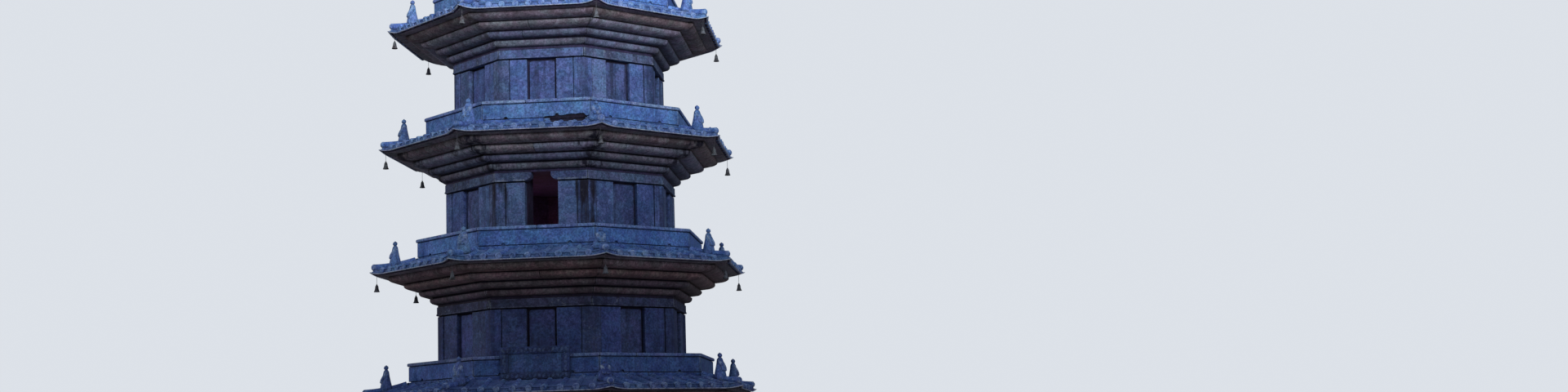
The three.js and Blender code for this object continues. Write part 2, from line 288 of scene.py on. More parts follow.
class Stonework:
    """Gathers cut stones into one mesh. Each stone has a tone and a stain of its own, from 0 to 1."""

    def __init__(self, seed):
        self.draw = random.Random(seed)
        self.points = []
        self.faces = []
        self.finishes = []
        self.tones = []
        self.stains = []

    def lay(self, rings, finish=None, arris=ARRIS, stain=0.2):
        """Adds the closed stone that spans the rings, with its arrises worn off."""
        stone = ring_body(rings)
        if arris:
            sharp = [edge for edge in stone.edges if edge.calc_face_angle(0) > SHARP_ANGLE]
            bmesh.ops.bevel(stone, geom=sharp, offset=arris, offset_type="OFFSET", segments=1,
                            profile=0.5, affect="EDGES", clamp_overlap=True)
        stone.verts.index_update()
        start = len(self.points)
        self.points.extend(tuple(vertex.co) for vertex in stone.verts)
        self.tones.extend([self.draw.random()] * len(stone.verts))
        self.stains.extend([stain] * len(stone.verts))
        for face in stone.faces:
            self.faces.append([start + vertex.index for vertex in face.verts])
            self.finishes.append(finish)
        stone.free()

    def run(self, side, profile, cuts=(), **kind):
        """Lays a course along a side, from corner to corner, with joints at the cuts."""
        ends = [-MITRE, *cuts, MITRE]
        for left, right in zip(ends, ends[1:]):
            self.lay(swept(side, profile, left + JOINT / 2, right - JOINT / 2), **kind)

    def drum(self, outline, **kind):
        """Adds an eight-sided block from an outline of (corner radius, height)."""
        rings = []
        for radius, height in outline:
            rings.append([on_side(side, radius * HALF_SIDE, radius * FLAT, height) for side in range(SIDES)])
        self.lay(rings, **kind)

    def block(self, side, left, right, low, high, front, back, **kind):
        """Adds an upright block of a side."""
        self.lay(upright(side, box_outline(left, right, low, high), front, back), **kind)

    def piece(self, name, materials):
        """Makes the stones a piece. A stone without a finish of its own has the first material."""
        slots = {material: slot for slot, material in enumerate(materials)}
        mesh = bpy.data.meshes.new(name)
        mesh.from_pydata(self.points, [], self.faces)
        mesh.polygons.foreach_set("material_index", [slots.get(finish, 0) for finish in self.finishes])
        set_values(mesh, "tone", self.tones)
        set_values(mesh, "stain", self.stains)
        return finished(name, mesh, materials)


def level_ring(width, depth, height, steps, forward=0.0, fold=0.0):
    """Points of a level ellipse, set forward towards -Y, and folded like cloth."""
    points = []
    for step in range(steps):
        angle = 2 * math.pi * step / steps
        swell = 1 + fold * math.cos(8 * angle)
        points.append((width * swell * math.cos(angle), depth * swell * math.sin(angle) - forward, height))
    return points


def turned(name, outline, steps, materials=()):
    """A stone turned about the upright axis, from an outline of (radius, height) with both ends on it."""
    rings = []
    for radius, height in outline:
        rings.append(level_ring(radius, radius, height, steps) if radius else [(0, 0, height)])
    return body_piece(name, ring_body(rings), materials)


# Finishes

def group_socket(group, name, kind, value=None, out=False):
    """A named socket of a node group."""
    socket = group.interface.new_socket(name, in_out="OUTPUT" if out else "INPUT", socket_type=kind)
    if value is not None:
        socket.default_value = value
    return socket


def wired(tree, kind, inputs=None, **settings):
    """A node with its settings, and its inputs set to a value or joined to a socket."""
    node = tree.nodes.new(kind)
    for name, value in settings.items():
        setattr(node, name, value)
    for name, value in (inputs or {}).items():
        if isinstance(value, bpy.types.NodeSocket):
            tree.links.new(value, node.inputs[name])
        else:
            node.inputs[name].default_value = value
    return node


def stretch(tree, vector, scale):
    """A position scaled unevenly."""
    return wired(tree, "ShaderNodeMapping", {"Vector": vector, "Scale": scale}).outputs["Vector"]


def noise(tree, vector, scale, detail=4.0, roughness=0.55):
    return wired(tree, "ShaderNodeTexNoise",
                 {"Vector": vector, "Scale": scale, "Detail": detail, "Roughness": roughness}).outputs["Fac"]


def ranged(tree, value, low, high, to_low=0.0, to_high=1.0):
    """A value's range spread smoothly over another."""
    inputs = {"Value": value, "From Min": low, "From Max": high, "To Min": to_low, "To Max": to_high}
    return wired(tree, "ShaderNodeMapRange", inputs, interpolation_type="SMOOTHSTEP").outputs["Result"]


def maths(tree, operation, first, second):
    return wired(tree, "ShaderNodeMath", {0: first, 1: second}, operation=operation).outputs["Value"]


def blended(tree, share, first, second, mode="MIX"):
    """Two colours mixed by a share."""
    node = wired(tree, "ShaderNodeMix", {0: share}, data_type="RGBA", blend_type=mode)
    for index, value in ((6, first), (7, second)):
        if isinstance(value, bpy.types.NodeSocket):
            tree.links.new(value, node.inputs[index])
        else:
            node.inputs[index].default_value = value
    return node.outputs[2]


def weighed(tree, first, share, second):
    """Two numbers added: a share of the first, and the rest of the second."""
    rest = maths(tree, "MULTIPLY", second, 1 - share)
    return maths(tree, "ADD", maths(tree, "MULTIPLY", first, share), rest)


def tinted(tree, colour, tint):
    """A colour multiplied by another."""
    return blended(tree, 1.0, colour, tint, "MULTIPLY")


def openness(tree, reach, **settings):
    """How open the space beside a surface is, or the stone behind it, from 0 to 1."""
    return wired(tree, "ShaderNodeAmbientOcclusion", {"Distance": reach}, samples=4, **settings).outputs["AO"]


def shader_group(name, *outputs):
    """A node group that turns a position into numbers, and its position."""
    group = bpy.data.node_groups.new(name, "ShaderNodeTree")
    group_socket(group, "Position", "NodeSocketVector")
    for output in outputs:
        group_socket(group, output, "NodeSocketFloat", out=True)
    return group, group.nodes.new("NodeGroupInput").outputs["Position"]


def giving(group, **results):
    """Joins a group's results to its outputs."""
    end = group.nodes.new("NodeGroupOutput")
    for name, result in results.items():
        group.links.new(result, end.inputs[name])
    return group


def grain_group():
    """Granite's own look: crystals, clouds of tone, and the height of its tooled face."""
    group, source = shader_group("granite_grain", "Clouds", "Blotches", "Tints", "Crystals", "Height")
    clouds = noise(group, source, 3.4, 5.0, 0.62)
    blotches = noise(group, source, 19.0, 5.0, 0.70)
    crystals = noise(group, source, 48.0, 3.0, 0.8)
    apart = wired(group, "ShaderNodeMapping", {"Vector": source, "Location": (4, 7, 2)}).outputs["Vector"]
    return giving(group, Clouds=weighed(group, clouds, 0.5, blotches), Blotches=blotches,
                  Tints=noise(group, apart, 7.0, 5.0, 0.65), Crystals=crystals,
                  Height=weighed(group, blotches, 0.7, crystals))


def weather_group():
    """What weather leaves: streaks that run down, crusts of lichen, and stains beside the tower's corners."""
    group, source = shader_group("weather_marks", "Streaks", "Lichen", "Corners")
    runs = noise(group, stretch(group, source, (9.0, 9.0, 0.9)), 1.0, 5.0, 0.62)
    patches = noise(group, source, 1.7, 2.0, 0.5)
    streaks = maths(group, "MULTIPLY", ranged(group, runs, 0.49, 0.64), ranged(group, patches, 0.36, 0.60))
    crusts = noise(group, source, 26.0, 6.0, 0.75)
    fields = noise(group, source, 3.3, 3.0, 0.6)
    lichen = maths(group, "MULTIPLY", ranged(group, crusts, 0.55, 0.64), ranged(group, fields, 0.44, 0.62))
    parts = wired(group, "ShaderNodeSeparateXYZ", {"Vector": source}).outputs
    turn = maths(group, "ARCTAN2", parts["X"], maths(group, "MULTIPLY", parts["Y"], -1.0))
    closeness = maths(group, "PINGPONG", maths(group, "DIVIDE", turn, SIDE_ANGLE), 0.5)
    ragged = noise(group, stretch(group, source, (15.0, 15.0, 1.5)), 1.0, 5.0, 0.65)
    edge = maths(group, "ADD", maths(group, "MULTIPLY", closeness, 1.40), ragged)
    return giving(group, Streaks=streaks, Lichen=lichen, Corners=ranged(group, edge, 1.00, 1.24))


def shade(red, green, blue):
    """A colour given as it looks on screen, from 0 to 255, for a shader socket."""
    linear = []
    for value in (red, green, blue):
        share = value / 255
        linear.append(share / 12.92 if share <= 0.04045 else ((share + 0.055) / 1.055) ** 2.4)
    return (*linear, 1.0)


def granite(name, pale, deep, stain, streaks=0.6, lichen=0.3, hollow_shade=0.7, crust=(160, 172, 188), wear_and_highlight=0.5,
            shade_below=(0.56, 0.54, 0.64), relief=0.004):
    """A weathered granite: blotches of two tones, stains, lichen, arrises worn pale and partly painted as
    highlights, painted shade in its hollows, and painted shade on the lower storeys.
    """
    material = bpy.data.materials.new(name)
    material.use_nodes = True
    tree = material.node_tree
    surface = tree.nodes["Principled BSDF"].inputs
    position = wired(tree, "ShaderNodeTexCoord").outputs["Object"]
    grain = wired(tree, "ShaderNodeGroup", {"Position": position}, node_tree=GRAIN).outputs
    weather = wired(tree, "ShaderNodeGroup", {"Position": position}, node_tree=WEATHER).outputs
    tone = wired(tree, "ShaderNodeAttribute", attribute_name="tone").outputs["Fac"]
    stained = wired(tree, "ShaderNodeAttribute", attribute_name="stain").outputs["Fac"]
    mottled = maths(tree, "ADD", ranged(tree, grain["Clouds"], 0.41, 0.59, 0.0, 0.74),
                    maths(tree, "MULTIPLY", tone, 0.26))
    colour = blended(tree, mottled, shade(*deep), shade(*pale))
    clouded = ranged(tree, grain["Tints"], 0.40, 0.60)
    colour = tinted(tree, colour, blended(tree, clouded, (0.93, 1.03, 1.0, 1.0), (1.09, 0.93, 1.01, 1.0)))
    block = maths(tree, "FRACT", maths(tree, "MULTIPLY", tone, 7.0), 0.0)
    colour = tinted(tree, colour, blended(tree, block, (1.10, 1.04, 0.90, 1.0), (0.93, 0.97, 1.06, 1.0)))
    colour = tinted(tree, colour, ranged(tree, grain["Crystals"], 0.36, 0.64, 0.62, 1.34))
    # Painted shade: the stone below a set height is darkened, as the lower storeys lie in shade.
    level = wired(tree, "ShaderNodeSeparateXYZ", {"Vector": position}).outputs["Z"]
    shaded_below = blended(tree, ranged(tree, level, *LOW_SHADE_EDGE), (*shade_below, 1.0), (1.0, 1.0, 1.0, 1.0))
    colour = tinted(tree, colour, shaded_below)
    colour = blended(tree, maths(tree, "MULTIPLY", weather["Streaks"], streaks), colour, shade(*stain))
    rusty = blended(tree, ranged(tree, stained, 0.5, 0.9), shade(*stain), shade(*RUST))
    colour = blended(tree, maths(tree, "MULTIPLY", weather["Corners"], stained), colour, rusty)
    colour = blended(tree, maths(tree, "MULTIPLY", weather["Lichen"], lichen), colour, shade(*crust))
    # Paler arrises: partly real wear, partly a painted highlight along the stone's edges.
    arrises = ranged(tree, openness(tree, 0.016, inside=True, only_local=True), 0.40, 0.80, wear_and_highlight, 0.0)
    bared_and_highlit = maths(tree, "MULTIPLY", arrises, ranged(tree, grain["Blotches"], 0.38, 0.60))
    colour = blended(tree, bared_and_highlit, colour, shade(*crust))
    # Painted shade: the stone is darkened where the space beside it is hemmed in, in corners, recesses and
    # gaps.
    shaded_hollows = ranged(tree, openness(tree, 0.06), 0.35, 0.90, hollow_shade, 0.0)
    colour = blended(tree, shaded_hollows, colour, shade(*(value * 0.42 for value in stain)))
    tree.links.new(colour, surface["Base Color"])
    tree.links.new(ranged(tree, grain["Crystals"], 0.3, 0.7, 0.78, 0.92), surface["Roughness"])
    surface["Specular IOR Level"].default_value = 0.3
    bump = wired(tree, "ShaderNodeBump", {"Strength": 0.8, "Distance": relief, "Height": grain["Height"]})
    tree.links.new(bump.outputs["Normal"], surface["Normal"])
    return material


GRAIN = grain_group()
WEATHER = weather_group()

# The corbel courses' stone, in the shelter of the eaves: its darker, browner colour is partly stain and
# partly painted shade
SHELTERED = {"streaks": 0.5, "lichen": 0.05, "hollow_shade": 0.35, "wear_and_highlight": 0.35, "shade_below": (0.84, 0.62, 0.55)}

PANEL = granite("panel_granite", (94, 118, 172), (56, 76, 124), (32, 38, 66), streaks=0.35, lichen=0.12)
POST = granite("post_granite", (92, 114, 164), (52, 70, 114), (32, 36, 62), streaks=0.45, lichen=0.15)
SLAB = granite("niche_granite", (84, 102, 154), (50, 66, 110), (30, 32, 52), streaks=0.65, lichen=0.05,
               wear_and_highlight=0.2, shade_below=(0.82, 0.76, 0.84))
LINTEL = granite("lintel_granite", (88, 107, 148), (54, 66, 100), (36, 35, 48), streaks=0.5, lichen=0.3,
                 shade_below=(0.66, 0.54, 0.57))
PARAPET = granite("parapet_granite", (94, 134, 194), (58, 90, 152), (40, 52, 90), streaks=0.3, lichen=0.12,
                  hollow_shade=0.5)
COPING = granite("coping_granite", (130, 156, 202), (84, 108, 158), (52, 56, 80), streaks=0.25, lichen=0.35)
# The pale crust on the tile rolls is partly a painted highlight, standing in for glints on their rims.
TILE = granite("tile_granite", (110, 146, 202), (60, 89, 150), (26, 33, 63), streaks=0.2, lichen=0.45,
               crust=(186, 204, 222), wear_and_highlight=0.3, hollow_shade=0.4, relief=0.006)
BED = granite("tile_bed_granite", (107, 142, 200), (59, 88, 150), (30, 39, 73), streaks=0.2, lichen=0.45,
              hollow_shade=0.3, wear_and_highlight=0.0)
FIGURE = granite("figure_granite", (108, 142, 196), (58, 84, 138), (30, 38, 66), streaks=0.3, lichen=0.35,
                 crust=(180, 196, 212), wear_and_highlight=0.4, hollow_shade=0.6)
# Broken stone, painted dark partly as the shade inside the broken curb's gap.
BROKEN_AND_SHADED = granite("broken_stone_painted_shade", (44, 40, 62), (22, 20, 36), (14, 12, 22), streaks=0.2, lichen=0.0,
                 hollow_shade=0.9, wear_and_highlight=0.0)
# The eave lip's pale colour is partly a painted highlight along its rounded edge.
LIP = granite("eave_lip_granite", (152, 168, 198), (106, 124, 160), (60, 64, 86), streaks=0.4, lichen=0.35,
              crust=(182, 190, 208), hollow_shade=0.3)
# The soffit's dark colour is partly painted shade under the eaves.
SOFFIT = granite("soffit_granite", (124, 124, 140), (86, 86, 100), (50, 42, 48), streaks=0.5, lichen=0.0,
                 wear_and_highlight=0.2, hollow_shade=0.2)
TOP_CORBEL = granite("top_corbel_granite", (132, 126, 138), (89, 84, 94), (56, 40, 42),
                     crust=(150, 150, 158), **SHELTERED)
CORBEL = granite("corbel_granite", (134, 136, 154), (92, 92, 108), (56, 42, 48), crust=(150, 154, 166),
                 **SHELTERED)
# The lower courses take a darker copy of the corbel stone, painted shade deeper under the eaves.
LOW_CORBEL = granite("low_corbel_granite", (108, 114, 138), (73, 78, 97), (46, 38, 48),
                     crust=(140, 148, 164), **SHELTERED)
# Core masonry behind the facing. Its dark colour is painted shade where it lines hollows: the drip groove
# under the eave lip, the beds between the corbel courses, and the doorways and chambers.
CORE_AND_HOLLOW_SHADE = granite("core_masonry_and_hollow_shade", (66, 60, 94), (42, 38, 64), (28, 26, 44), streaks=0.2, lichen=0.0, hollow_shade=0.5,
               wear_and_highlight=0.0)
# The bells' dark colour is partly painted shade, as they hang under the eaves.
BELL = granite("bell_stone", (84, 82, 84), (54, 52, 54), (36, 32, 34), streaks=0.3, lichen=0.1, wear_and_highlight=0.2)
PLAQUE = granite("plaque_granite", (76, 100, 146), (48, 66, 106), (32, 38, 62), streaks=0.4, lichen=0.1,
                 crust=(96, 116, 150), wear_and_highlight=0.3)
PLAQUE_FIELD = granite("plaque_field_granite", (92, 124, 166), (58, 85, 124), (38, 47, 68), streaks=0.4,
                       lichen=0.15, wear_and_highlight=0.1)
BASE = granite("base_granite", (112, 124, 152), (74, 84, 112), (48, 46, 60), streaks=0.6, lichen=0.3)


# Repeats

def repeat_tree(name, *numbers):
    """A Geometry Nodes tree with the inputs of a repeat and some numbers of its own, and its inputs."""
    tree = bpy.data.node_groups.new(name, "GeometryNodeTree")
    group_socket(tree, "Places", "NodeSocketGeometry")
    group_socket(tree, "Ornament", "NodeSocketObject")
    group_socket(tree, "Uneven", "NodeSocketFloat", 0.05)
    group_socket(tree, "Seed", "NodeSocketInt", 1)
    group_socket(tree, "Finish", "NodeSocketMaterial")
    for number in numbers:
        group_socket(tree, number, "NodeSocketFloat", 0.03)
    group_socket(tree, "Made", "NodeSocketGeometry", out=True)
    return tree, tree.nodes.new("NodeGroupInput").outputs


def copies(tree, source, inputs):
    """An ornament on each point, varied a little in size."""
    least = maths(tree, "SUBTRACT", 1.0, source["Uneven"])
    most = maths(tree, "ADD", 1.0, source["Uneven"])
    limits = {2: least, 3: most, "Seed": source["Seed"]}
    size = wired(tree, "FunctionNodeRandomValue", limits, data_type="FLOAT")
    one = wired(tree, "GeometryNodeObjectInfo", {"Object": source["Ornament"]}).outputs["Geometry"]
    inputs = {"Instance": one, "Scale": size.outputs[1], **inputs}
    return wired(tree, "GeometryNodeInstanceOnPoints", inputs).outputs["Instances"]


def dressed(tree, source, geometry):
    """Makes the copies real and gives them their finish."""
    real = wired(tree, "GeometryNodeRealizeInstances", {"Geometry": geometry}).outputs["Geometry"]
    done = wired(tree, "GeometryNodeSetMaterial", {"Geometry": real, "Material": source["Finish"]})
    tree.links.new(done.outputs["Geometry"], tree.nodes.new("NodeGroupOutput").inputs["Made"])
    return tree


def roll_tree():
    """Half-buried stone rolls along lines, each with an ornament at its first point."""
    tree, source = repeat_tree("stone_rolls", "Radius")
    lines = wired(tree, "GeometryNodeMeshToCurve", {"Mesh": source["Places"]}).outputs["Curve"]
    section = wired(tree, "GeometryNodeCurvePrimitiveCircle",
                    {"Resolution": 12, "Radius": source["Radius"]}).outputs["Curve"]
    rolls = wired(tree, "GeometryNodeCurveToMesh",
                  {"Curve": lines, "Profile Curve": section, "Fill Caps": True}).outputs["Mesh"]
    first = wired(tree, "GeometryNodeCurveEndpointSelection", {"Start Size": 1, "End Size": 0})
    tangent = tree.nodes.new("GeometryNodeInputTangent").outputs["Tangent"]
    facing = wired(tree, "FunctionNodeAlignRotationToVector", {"Vector": tangent}, axis="Z")
    ends = copies(tree, source, {"Points": lines, "Selection": first.outputs["Selection"],
                                 "Rotation": facing.outputs["Rotation"]})
    both = tree.nodes.new("GeometryNodeJoinGeometry")
    for part in (rolls, ends):
        tree.links.new(part, both.inputs["Geometry"])
    return dressed(tree, source, both.outputs["Geometry"])


def ornament_tree():
    """One ornament on each point, turned by the point's own angle."""
    tree, source = repeat_tree("placed_ornaments")
    turn = wired(tree, "GeometryNodeInputNamedAttribute", {"Name": "turn"}, data_type="FLOAT")
    about = wired(tree, "ShaderNodeCombineXYZ", {"Z": turn.outputs["Attribute"]}).outputs["Vector"]
    return dressed(tree, source, copies(tree, source, {"Points": source["Places"], "Rotation": about}))


def grown(name, mesh, tree, values, material):
    """Runs a Geometry Nodes tree on a mesh and keeps what it makes as a plain mesh."""
    helper = added(name + "_source", mesh)
    modifier = helper.modifiers.new("growth", "NODES")
    modifier.node_group = tree
    names = {item.name: item.identifier for item in tree.interface.items_tree
             if item.item_type == "SOCKET" and item.in_out == "INPUT"}
    for key, value in {**values, "Finish": material}.items():
        modifier[names[key]] = value
    depsgraph = bpy.context.evaluated_depsgraph_get()
    made = bpy.data.meshes.new_from_object(helper.evaluated_get(depsgraph), depsgraph=depsgraph)
    bpy.data.objects.remove(helper)
    made.name = name
    made.materials.clear()
    return finished(name, made, [material])


def grown_rolls(name, lines, tones, radius, end_piece, uneven, seed):
    """Rolls along bare lines, one tone to each, with their end pieces."""
    points, edges, values = [], [], []
    for line, tone in zip(lines, tones):
        start = len(points)
        points.extend(line)
        edges.extend((start + i, start + i + 1) for i in range(len(line) - 1))
        values.extend([tone] * len(line))
    mesh = bpy.data.meshes.new(name + "_lines")
    mesh.from_pydata(points, edges, [])
    set_values(mesh, "tone", values)
    sizes = {"Radius": radius, "Ornament": end_piece, "Uneven": uneven, "Seed": seed}
    return grown(name, mesh, ROLLS, sizes, TILE)


ROLLS = roll_tree()
ORNAMENTS = ornament_tree()


# Roofs

def pan_height(storey, inward):
    """Height of the tiles' bed above the tips, at a distance in from them."""
    if storey == STOREYS:
        return TOP_FOOT + TOP_PITCH * inward + TOP_SAG * inward * inward
    return PAN_FOOT + PAN_PITCH * inward + PAN_SAG * inward * inward


def slope_end(storey):
    return TOP_SLOPE_IN if storey == STOREYS else TILE_END_IN


def swept_up(storey, side, share_along, inward, height):
    """A roof point, from its share along the side, swept up and out near the corners."""
    tip = tip_radius(storey)
    radius = tip - inward
    nearness = abs(2 * share_along - 1)
    sweep = max(0.0, (nearness - 1 + 2 * SWEEP_START) / (2 * SWEEP_START)) ** 2
    reach = max(0.0, (DECK_IN - inward) / (DECK_IN - EAVE_IN)) ** 2
    stretched = radius * (1 + EAVE_IN / (tip - EAVE_IN) * sweep * reach)
    along = (2 * share_along - 1) * stretched * HALF_SIDE
    lift = (TIP_RISE + droop(storey, EAVE_IN) / 2) * sweep * reach - droop(storey, inward)
    return on_side(side, along, stretched * FLAT, tip_height(storey) + height + lift)


def eave_profile(storey):
    """The roof slab's outline of (inward, height, finish), from its underside over the lip to the deck."""
    middle = LIP_TOP - LIP_THICKNESS / 2
    lip = arc((EAVE_IN + LIP_WIDTH / 2, middle), (LIP_WIDTH / 2, LIP_THICKNESS / 2), 270, 90, 8)
    # The drip groove behind the lip takes the dark core finish, as painted shade.
    outline = [(SOFFIT_IN, SOFFIT_HEIGHT, SOFFIT), (0.074, -0.026, SOFFIT), (0.070, -0.010, CORE_AND_HOLLOW_SHADE),
               (0.052, -0.010, CORE_AND_HOLLOW_SHADE), (BED_IN, -0.017, CORE_AND_HOLLOW_SHADE)]
    outline += [(inward, height, LIP) for inward, height in lip]
    outline += [(BED_IN, LIP_TOP, LIP), (BED_IN, LIP_TOP + 0.008, BED),
                (BED_IN + 0.012, LIP_TOP + 0.009, BED),
                (BED_IN + 0.012, pan_height(storey, BED_IN) - 0.006, BED)]
    end = slope_end(storey)
    steps = 22 if storey == STOREYS else 8
    for step in range(steps + 1):
        inward = BED_IN + (end - BED_IN) * (step / steps)
        outline.append((inward, pan_height(storey, inward), BED))
    if storey != STOREYS:
        outline.append((end, DECK_HEIGHT, BED))
    return outline


def build_eaves(storey):
    """The roof slab as one mesh: soffit, lip and the bed of the tiles."""
    shares = [0, 0.008, 0.02, 0.035, 0.05, 0.07, 0.09, 0.11, 0.13, 0.3, 0.5]
    shares += [1 - share for share in reversed(shares[1:-1])]
    outline = eave_profile(storey)
    rings = []
    for inward, height, _ in outline:
        rings.append([swept_up(storey, side, share, inward, height)
                      for side in range(SIDES) for share in shares])
    body = ring_body(rings)
    materials = [BED, SOFFIT, LIP, CORE_AND_HOLLOW_SHADE]
    finishes = [finish for _, _, finish in outline[1:] for _ in rings[0]]
    for face, finish in zip(body.faces, [*finishes, SOFFIT, BED]):
        face.material_index = materials.index(finish)
    return body_piece(f"eaves_{storey}", body, materials, tone=0.45)


def up_slope(first, last, least):
    """Distances in from the tips, spread evenly up a slope."""
    steps = max(least, math.ceil((last - first) / LINE_STEP))
    return [first + (last - first) * step / steps for step in range(steps + 1)]


def roll_line(storey, side, along, first, last):
    """Centre line of a tile roll, straight up the slope from the eave."""
    line = []
    for inward in up_slope(first, last, 2):
        share = 0.5 + along / (2 * (tip_radius(storey) - inward) * HALF_SIDE)
        line.append(swept_up(storey, side, share, inward, pan_height(storey, inward) - ROLL_SUNK))
    return line


def roll_end(storey, side, along):
    """How far up a tile roll runs: to the parapet, short of its broken curb, or only to the plaque."""
    if storey == BROKEN_STOREY - 1 and side == 0 and BROKEN_FROM < along < BROKEN_TO:
        return TILE_END_IN - STUB_SHORTER - STUB_UNEVEN * math.sin(31 * along)
    if storey == 1 and side == 0 and abs(along) < PLAQUE_WIDTH / 2:
        return TILE_END_IN - PLAQUE_THICKNESS / FLAT - 0.004
    return slope_end(storey)


def build_tiles(storey, end_piece):
    """Rows of tile rolls up each side of the roof, cut off at the hips and at the parapet."""
    draw = random.Random(40 + storey)
    tip = tip_radius(storey)
    pitch = 2 * (tip - EAVE_IN) * HALF_SIDE * ROLL_SPACING
    lines, tones = [], []
    for side in range(SIDES):
        for index in range(ROLLS_PER_SIDE):
            along = (index + 0.5 - ROLLS_PER_SIDE / 2) * pitch + draw.uniform(-0.006, 0.006)
            hip = tip - (abs(along) + ROLL_TO_HIP) / HALF_SIDE
            last = min(roll_end(storey, side, along), hip)
            first = ROLL_FRONT_IN + draw.uniform(-0.003, 0.004)
            if last - first < ROLL_SHORTEST:
                continue
            lines.append(roll_line(storey, side, along, first, last))
            tones.append(draw.random())
    return grown_rolls(f"tiles_{storey}", lines, tones, ROLL_RADIUS, end_piece, 0.06, storey)


def build_hips(storey, nose):
    """A round ridge down each hip, with a blunt nose over the corner."""
    lines = []
    for side in range(SIDES):
        lines.append([swept_up(storey, side, 1.0, inward, pan_height(storey, inward) + RIDGE_RAISED)
                      for inward in up_slope(RIDGE_FRONT_IN, slope_end(storey), 8)])
    return grown_rolls(f"hips_{storey}", lines, [0.7] * SIDES, RIDGE_RADIUS, nose, 0.04, 70 + storey)


def tile_end():
    """A round end tile with a raised rim, its front towards -Z."""
    outline = [(0, -0.012), (0.020, -0.012), (0.023, -0.015), (0.031, -0.014), (0.0355, -0.008),
               (0.0360, 0.0), (0.0360, 0.012), (0, 0.012)]
    return turned("tile_end", outline, 16)


def ridge_nose():
    """The ridge's blunt nose, its front towards -Z."""
    outline = [(0, -0.020), (0.014, -0.018), (0.026, -0.011), (0.034, 0.000), (0.0362, 0.012),
               (0.0362, 0.02), (0, 0.02)]
    return turned("ridge_nose", outline, 16)


# Ornaments

def loft(name, levels, steps, fold=0.0):
    """A body through level ellipses of (height, half width, half depth, forward), facing -Y."""
    top = levels[-1][0]
    rings = [level_ring(width, depth, height, steps, forward, fold * (1 - height / top))
             for height, width, depth, forward in levels]
    return body_piece(name, ring_body(rings))


def hip_figure():
    """A small robed figure with joined sleeves, on a low plinth."""
    plinth = [(0.0, 0.060, 0.056, 0.0), (0.040, 0.060, 0.056, 0.0), (0.050, 0.052, 0.050, 0.0)]
    robe = [(0.042, 0.072, 0.060, 0.0), (0.056, 0.076, 0.064, 0.0), (0.080, 0.076, 0.064, 0.0),
            (0.120, 0.069, 0.056, 0.001), (0.165, 0.059, 0.047, 0.002), (0.205, 0.050, 0.039, 0.002),
            (0.235, 0.046, 0.034, 0.001), (0.256, 0.041, 0.030, 0.0), (0.270, 0.030, 0.024, 0.0),
            (0.279, 0.017, 0.016, 0.0), (0.286, 0.014, 0.014, 0.001)]
    head = [(0.280, 0.012, 0.012, 0.002), (0.285, 0.019, 0.020, 0.002), (0.294, 0.0245, 0.025, 0.002),
            (0.304, 0.0255, 0.0255, 0.001), (0.314, 0.023, 0.023, 0.0), (0.321, 0.016, 0.016, 0.0),
            (0.323, 0.010, 0.010, 0.0), (0.327, 0.008, 0.008, 0.0), (0.330, 0.004, 0.004, 0.0)]
    arm = [(0.130, 0.012, 0.013, 0.048), (0.142, 0.021, 0.019, 0.049), (0.172, 0.020, 0.017, 0.044),
           (0.202, 0.018, 0.017, 0.029), (0.234, 0.015, 0.015, 0.010), (0.250, 0.010, 0.010, 0.0)]
    wrist, shoulder = arm[0][0], arm[-1][0]
    parts = [loft("plinth", plinth, 24), loft("robe", robe, 32, fold=0.05), loft("head", head, 16)]
    for sign in (-1, 1):
        sleeve = loft("sleeve", arm, 12)
        for vertex in sleeve.data.vertices:
            spread = (vertex.co.z - wrist) / (shoulder - wrist)
            vertex.co.x += sign * (0.018 + 0.022 * spread)
        parts.append(sleeve)
    return joined("hip_figure", parts)


def wind_bell():
    """A flared bell on a rod, with a clapper. Its crown is at height 0."""
    cup = [(0, -0.003), (0.010, -0.001), (0.016, -0.007), (0.0185, -0.020), (0.0205, -0.038),
           (0.025, -0.056), (0.032, -0.070), (0.0335, -0.075), (0.0305, -0.075), (0.022, -0.056),
           (0.0175, -0.038), (0.0145, -0.018), (0, -0.010)]
    rod = [(0, -0.016), (0.002, -0.016), (0.002, 0.118), (0, 0.118)]
    eye = [(0, -0.005), (0.008, -0.003), (0.0095, 0.004), (0.006, 0.012), (0, 0.014)]
    clapper = [(0, -0.068), (0.008, -0.066), (0.010, -0.060), (0.007, -0.052), (0.003, -0.046),
               (0.003, -0.010), (0, -0.009)]
    return joined("wind_bell", [turned("bell_cup", cup, 16), turned("bell_rod", rod, 8),
                                turned("bell_eye", eye, 10), turned("bell_clapper", clapper, 8)])


def joined(name, parts):
    """Several pieces made one mesh, without a tone of its own so that each copy takes its place's."""
    whole = bmesh.new()
    for part in parts:
        whole.from_mesh(part.data)
        bpy.data.objects.remove(part)
    mesh = bpy.data.meshes.new(name)
    whole.to_mesh(mesh)
    whole.free()
    mesh.attributes.remove(mesh.attributes["tone"])
    return added(name, mesh)


def at_corners(name, storey, inward, height, ornament, material):
    """Puts one ornament on each corner of a roof, facing out."""
    draw = random.Random(storey)
    mesh = bpy.data.meshes.new(name + "_places")
    mesh.from_pydata([corner_point(storey, corner, inward, height) for corner in range(SIDES)], [], [])
    set_values(mesh, "turn", [corner_angle(corner) for corner in range(SIDES)])
    set_values(mesh, "tone", [draw.random() for _ in range(SIDES)])
    values = {"Ornament": ornament, "Uneven": 0.03, "Seed": 10 * storey}
    return grown(name, mesh, ORNAMENTS, values, material)


def shorten_figure(figures, storey):
    """Lowers the one figure that is shorter than the others."""
    x, y, foot = corner_point(storey, SHORT_CORNER, FIGURE_IN, FIGURE_FOOT)
    for vertex in figures.data.vertices:
        if math.hypot(vertex.co.x - x, vertex.co.y - y) < FIGURE_REACH:
            vertex.co.z = foot + SHORT_SHARE * (vertex.co.z - foot)


# Cornices

